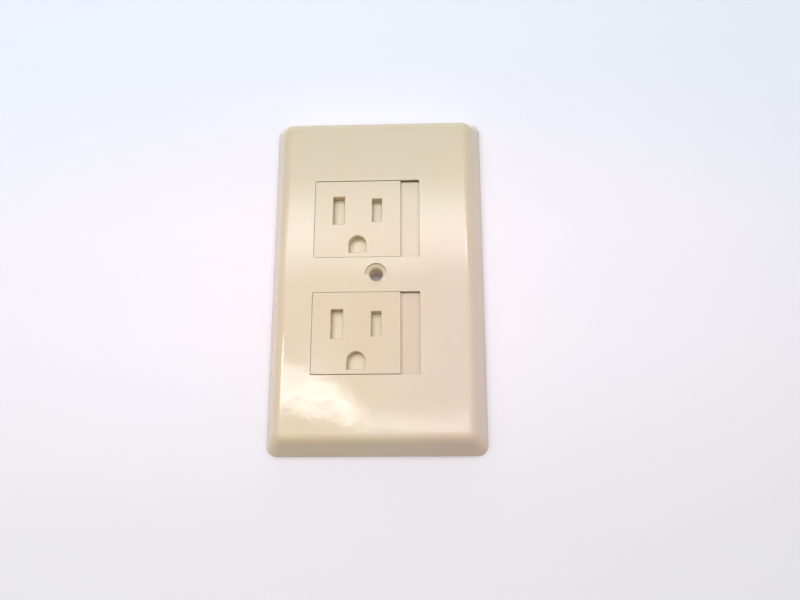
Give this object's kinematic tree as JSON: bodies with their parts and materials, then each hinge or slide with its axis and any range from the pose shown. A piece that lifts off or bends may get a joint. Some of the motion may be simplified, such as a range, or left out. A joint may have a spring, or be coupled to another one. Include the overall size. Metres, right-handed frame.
{
  "type": "self-closing duplex receptacle cover plate",
  "caption": "Ivory duplex outlet cover plate with spring-loaded sliding shutters that hide the blade slots until a plug slides them aside.",
  "frame": {"origin": "middle of the plate's outline on the wall plane, on the axis of the mounting screw hole", "axes": "+Z out of the front face, away from the wall; +Y towards the top of the plate as it hangs on the wall; +X to the right seen from the front, the way the shutters open"},
  "size_m": [0.071, 0.1158, 0.01],
  "materials": {
    "ivory_gloss": "glossy moulded ivory thermoplastic",
    "ivory_shutter": "glossy moulded ivory thermoplastic",
    "ivory_rear": "satin moulded ivory thermoplastic",
    "spring_wire": "bright drawn spring wire",
    "plated_screw": "zinc plated"
  },
  "bodies": {
    "plate": {"face_plate": "ivory_gloss", "rear_plate": "ivory_rear", "spring_upper_top": "spring_wire", "spring_upper_bottom": "spring_wire", "spring_lower_top": "spring_wire", "spring_lower_bottom": "spring_wire", "retaining_screw_1": "plated_screw", "retaining_screw_2": "plated_screw", "retaining_screw_3": "plated_screw", "retaining_screw_4": "plated_screw", "retaining_screw_5": "plated_screw", "retaining_screw_6": "plated_screw"},
    "upper_slide": {"upper_shutter": "ivory_shutter"},
    "lower_slide": {"lower_shutter": "ivory_shutter"}
  },
  "joints": [
    {"name": "upper_shutter_slide", "type": "slide", "parent": "plate", "child": "upper_slide", "axis": [1, 0, 0], "range_m": [0, 0.00615], "stiffness_N_per_m": 740, "springref_m": -0.002, "deforming": ["spring_upper_top", "spring_upper_bottom"]},
    {"name": "lower_shutter_slide", "type": "slide", "parent": "plate", "child": "lower_slide", "axis": [1, 0, 0], "range_m": [0, 0.00615], "stiffness_N_per_m": 740, "springref_m": -0.002, "deforming": ["spring_lower_top", "spring_lower_bottom"]}
  ]
}
